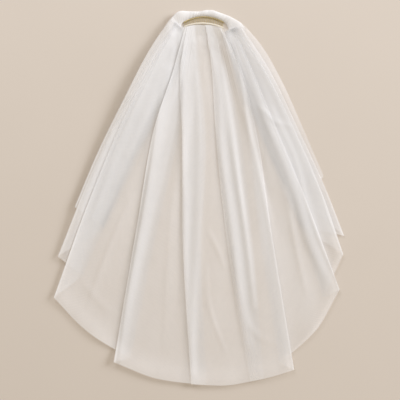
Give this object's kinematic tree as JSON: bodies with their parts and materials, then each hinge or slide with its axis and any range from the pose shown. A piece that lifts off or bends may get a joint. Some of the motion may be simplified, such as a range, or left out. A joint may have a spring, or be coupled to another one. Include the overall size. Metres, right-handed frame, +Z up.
{
  "type": "bridal veil",
  "caption": "Elbow-length bridal veil of soft tulle gathered on an arched wire comb, laid out flat in a fan of folds.",
  "frame": {"origin": "on the surface the veil lies on, under the middle of its outline", "axes": "+Z up from the surface, +Y along the veil from hem to comb, +X to the right as seen from above"},
  "size_m": [0.6116, 0.7899, 0.0228],
  "materials": {
    "tulle": "sheer soft net",
    "tape": "woven cream tape",
    "comb": "champagne gold wire"
  },
  "bodies": {
    "root": {"tulle_tier": "tulle", "head_gathers": "tulle", "binding_tape": "tape", "metal_comb": "comb"}
  },
  "joints": []
}
